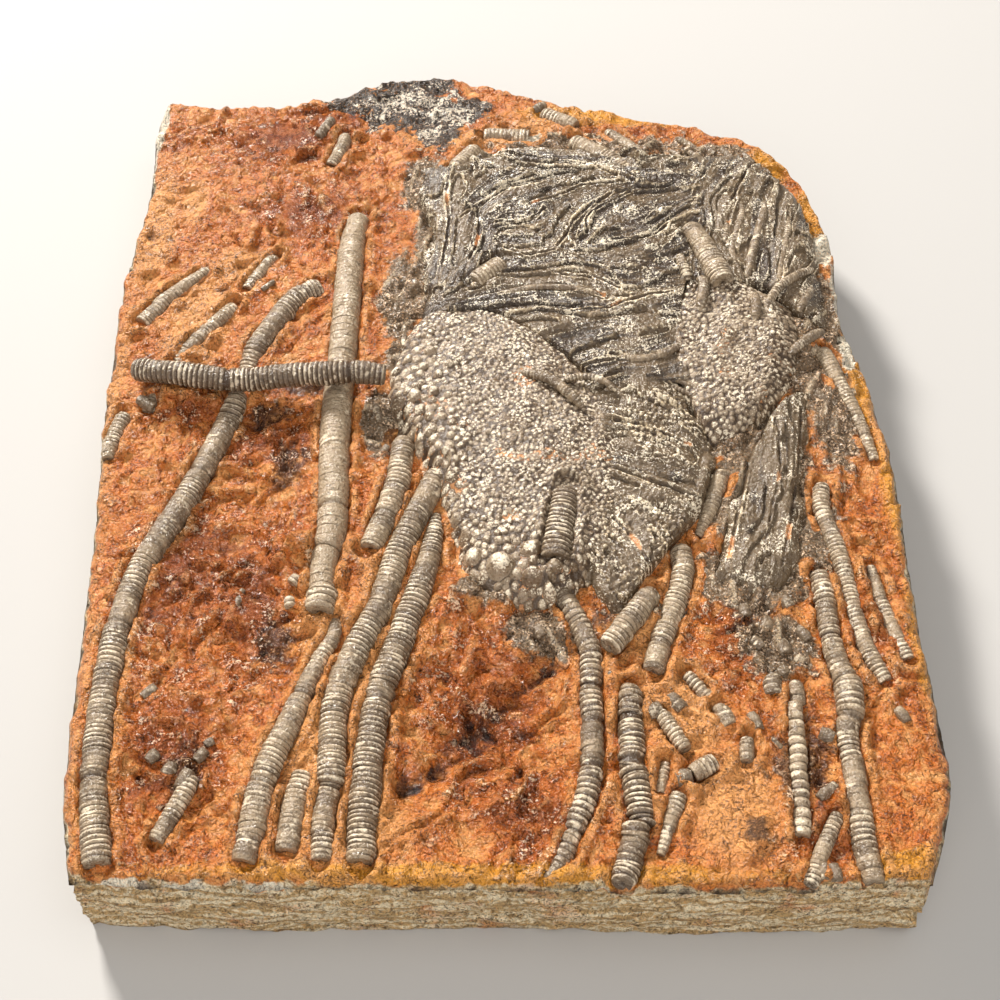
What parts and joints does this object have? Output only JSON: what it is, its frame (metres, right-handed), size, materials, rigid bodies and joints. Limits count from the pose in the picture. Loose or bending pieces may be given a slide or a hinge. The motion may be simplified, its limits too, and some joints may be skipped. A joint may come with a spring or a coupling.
{
  "type": "crinoid fossil plate",
  "caption": "Natural slab of rusty limestone with two fossil sea-lily cups, their feathery arms and many lengths of ringed stem in relief on its split face.",
  "frame": {"origin": "middle of the flat underside, at the centre of the plate's bounding box", "axes": "+Z out of the split face that carries the fossils, +Y from the sawn-looking front edge to the humped back edge, +X to the right"},
  "size_m": [0.1694, 0.224, 0.0293],
  "materials": {
    "matrix": "rust-orange and red-brown limestone, rough and lightly glossy, with olive grey broken sides",
    "stems": "warm grey ringed calcite, polished on its ridges",
    "cups": "knobbly pale grey calcite with bright points",
    "arms": "dark grey-brown stranded calcite with a metallic glint"
  },
  "bodies": {
    "root": {"back_knob": "stems", "back_side_stem": "stems", "back_stem_left": "stems", "back_stem_right": "stems", "back_stub": "stems", "beaded_stem": "stems", "bent_foot_piece": "stems", "bent_stem": "stems", "broken_stem_below_cup": "stems", "broken_stem_in_cup": "stems", "broken_stem_in_side_arms": "stems", "buried_stem": "stems", "corner_stem": "stems", "cross_stem": "stems", "crumpled_stem": "stems", "edge_stem": "stems", "first_cup_stem": "stems", "long_left_stem": "stems", "long_right_stem": "stems", "loose_piece_1": "stems", "loose_piece_2": "stems", "loose_piece_3": "stems", "loose_piece_4": "stems", "loose_piece_5": "stems", "loose_piece_6": "stems", "loose_piece_7": "stems", "loose_piece_8": "stems", "lower_arms": "arms", "main_calyx": "cups", "matrix_slab": "matrix", "middle_stem": "stems", "pointed_stem": "stems", "right_edge_stem": "stems", "right_stem": "stems", "second_cup_stem": "stems", "short_upper_stem": "stems", "side_arms": "arms", "side_calyx": "cups", "slanting_stem": "stems", "stub_above_long_stem": "stems", "stub_between_stems": "stems", "stub_in_upper_arms": "stems", "tall_stem": "stems", "tall_stem_foot": "stems", "third_cup_stem": "stems", "trailing_arms": "arms", "upper_arms": "arms"}
  },
  "joints": []
}
